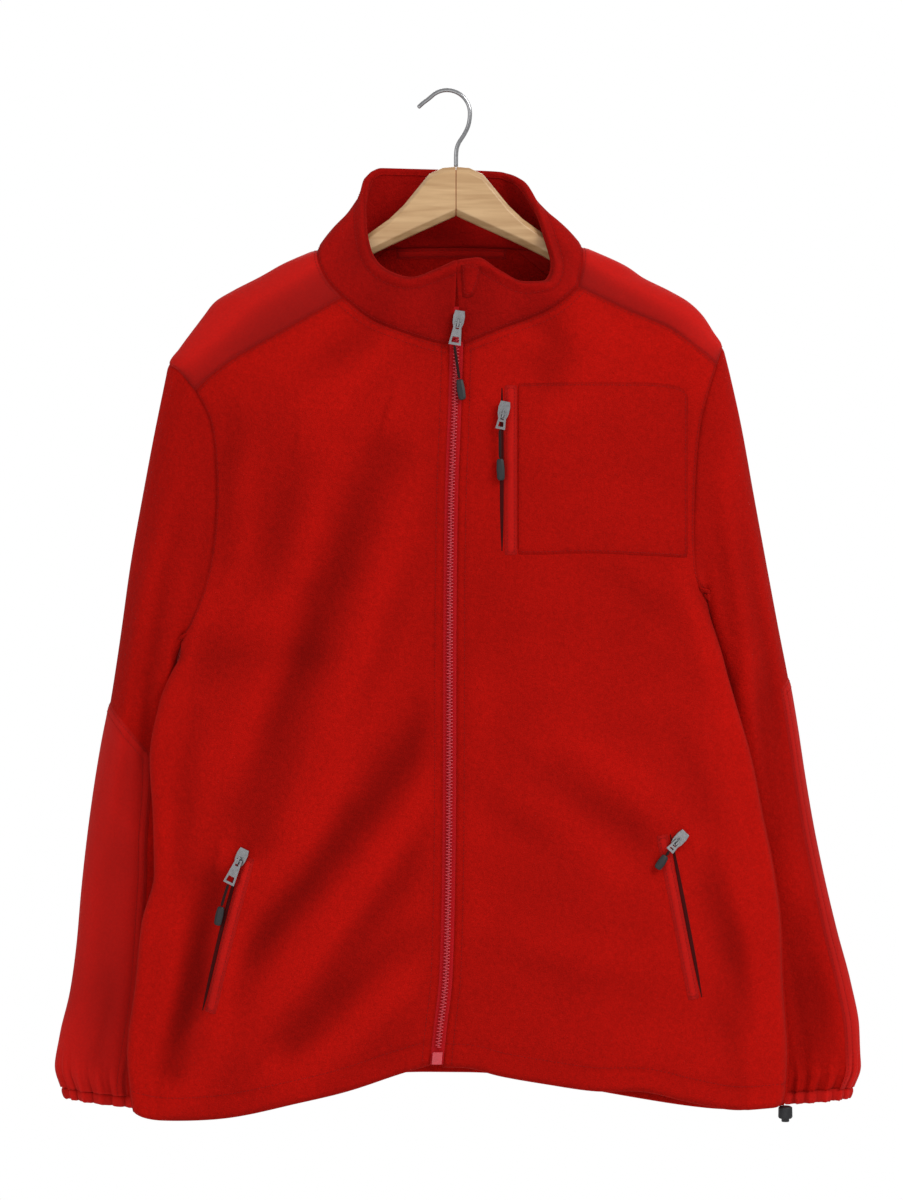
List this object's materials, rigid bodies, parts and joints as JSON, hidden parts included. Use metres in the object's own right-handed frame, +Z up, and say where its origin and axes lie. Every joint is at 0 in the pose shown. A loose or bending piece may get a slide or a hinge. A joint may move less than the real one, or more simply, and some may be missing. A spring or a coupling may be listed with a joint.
{
  "type": "fleece jacket on a hanger",
  "caption": "Fleece jacket with stand collar, woven yokes, full front zip, chest and hand pockets, zipped shut and hanging on a wooden hanger.",
  "frame": {"origin": "inner top of the hanger's hook, where it rests on a rail", "axes": "+Z up, -Y out of the jacket's front, +X towards the wearer's left"},
  "size_m": [0.731, 0.1295, 0.9255],
  "materials": {
    "fleece": "brushed pile",
    "woven": "smooth woven",
    "tape": "woven zip tape",
    "teeth": "moulded teeth",
    "metal": "cast and polished",
    "black": "moulded",
    "cord": "braided",
    "wood": "varnished",
    "chrome": "polished"
  },
  "bodies": {
    "jacket": {"front_right": "fleece", "front_left": "fleece", "back": "fleece", "yoke_right": "woven", "yoke_left": "woven", "collar": "fleece", "chin_guard": "fleece", "neck_tape": "woven", "sleeve_right": "fleece", "sleeve_left": "fleece", "sleeve_patch_right": "woven", "sleeve_patch_left": "woven", "cuff_right": "woven", "cuff_left": "woven", "zip_tape_right": "tape", "zip_tape_left": "tape", "zip_chain": "teeth", "zip_box": "teeth", "main_slider": "metal", "chest_pocket": "fleece", "chest_welt": "woven", "chest_zip": "tape", "chest_slider": "metal", "pocket_welt_right": "woven", "pocket_zip_right": "tape", "pocket_right_slider": "metal", "pocket_welt_left": "woven", "pocket_zip_left": "tape", "pocket_left_slider": "metal", "hanger_arm_right": "wood", "hanger_arm_left": "wood", "hanger_hook": "chrome", "cord_lock": "black"},
    "main_tab": {"main_pull": "metal", "main_cord": "cord", "main_grip": "black"},
    "chest_tab": {"chest_pull": "metal", "chest_cord": "cord", "chest_grip": "black"},
    "pocket_right_tab": {"pocket_right_pull": "metal", "pocket_right_cord": "cord", "pocket_right_grip": "black"},
    "pocket_left_tab": {"pocket_left_pull": "metal", "pocket_left_cord": "cord", "pocket_left_grip": "black"}
  },
  "joints": [
    {"name": "main_tab_swing", "type": "hinge", "parent": "jacket", "child": "main_tab", "pos_m": [0.0099, -0.05752, -0.21257], "axis": [-0.9873, -0.004, 0.1589], "range_deg": [0, 150]},
    {"name": "chest_tab_swing", "type": "hinge", "parent": "jacket", "child": "chest_tab", "pos_m": [0.04954, -0.06511, -0.29305], "axis": [-0.9809, 0.0035, 0.1946], "range_deg": [0, 150]},
    {"name": "pocket_right_tab_swing", "type": "hinge", "parent": "jacket", "child": "pocket_right_tab", "pos_m": [-0.18298, -0.06635, -0.68644], "axis": [-0.8821, 0.209, 0.4222], "range_deg": [0, 150]},
    {"name": "pocket_left_tab_swing", "type": "hinge", "parent": "jacket", "child": "pocket_left_tab", "pos_m": [0.20328, -0.06714, -0.66994], "axis": [-0.7221, -0.1072, 0.6835], "range_deg": [0, 150]}
  ]
}
